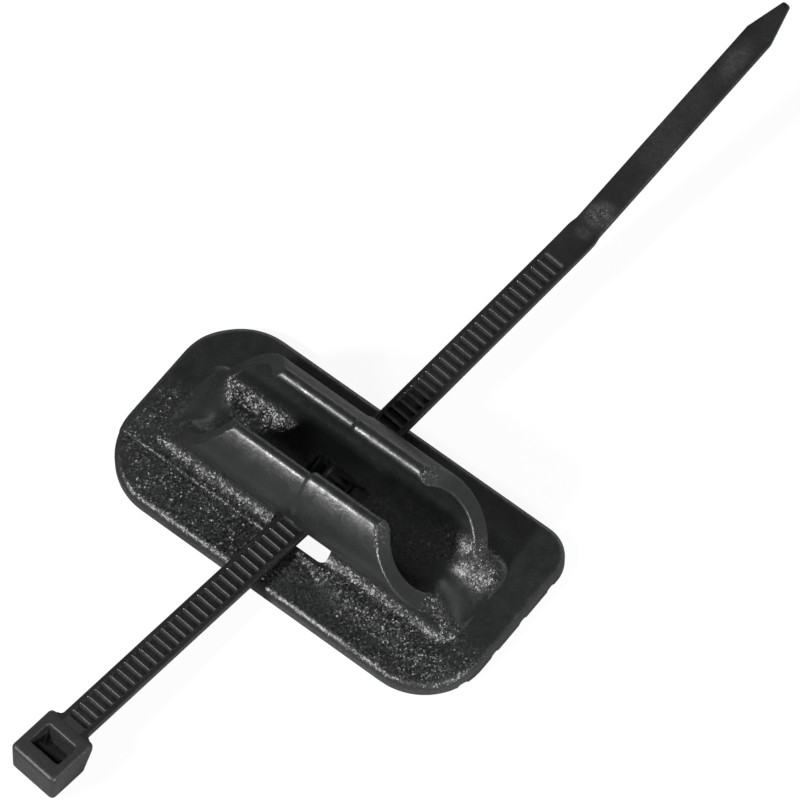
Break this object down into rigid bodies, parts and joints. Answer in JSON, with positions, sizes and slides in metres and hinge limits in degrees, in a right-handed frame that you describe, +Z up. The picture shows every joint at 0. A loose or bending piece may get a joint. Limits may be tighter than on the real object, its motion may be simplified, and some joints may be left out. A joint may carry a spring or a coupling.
{
  "type": "adhesive cable clip",
  "caption": "Glue-on plate with an open round cable seat and a ladder cable tie threaded loosely through the passage under the seat.",
  "frame": {"origin": "middle of the glue face, on the underside of the plate", "axes": "+X along the cable seat, +Y along the tie towards its tail, +Z up out of the glued surface"},
  "size_m": [0.062, 0.1525, 0.0215],
  "materials": {
    "clip_base": "black plastic with a fine spark-eroded grain",
    "cable_tie": "satin black plastic"
  },
  "bodies": {
    "root": {"clip_base": "clip_base", "cable_tie": "cable_tie"}
  },
  "joints": []
}
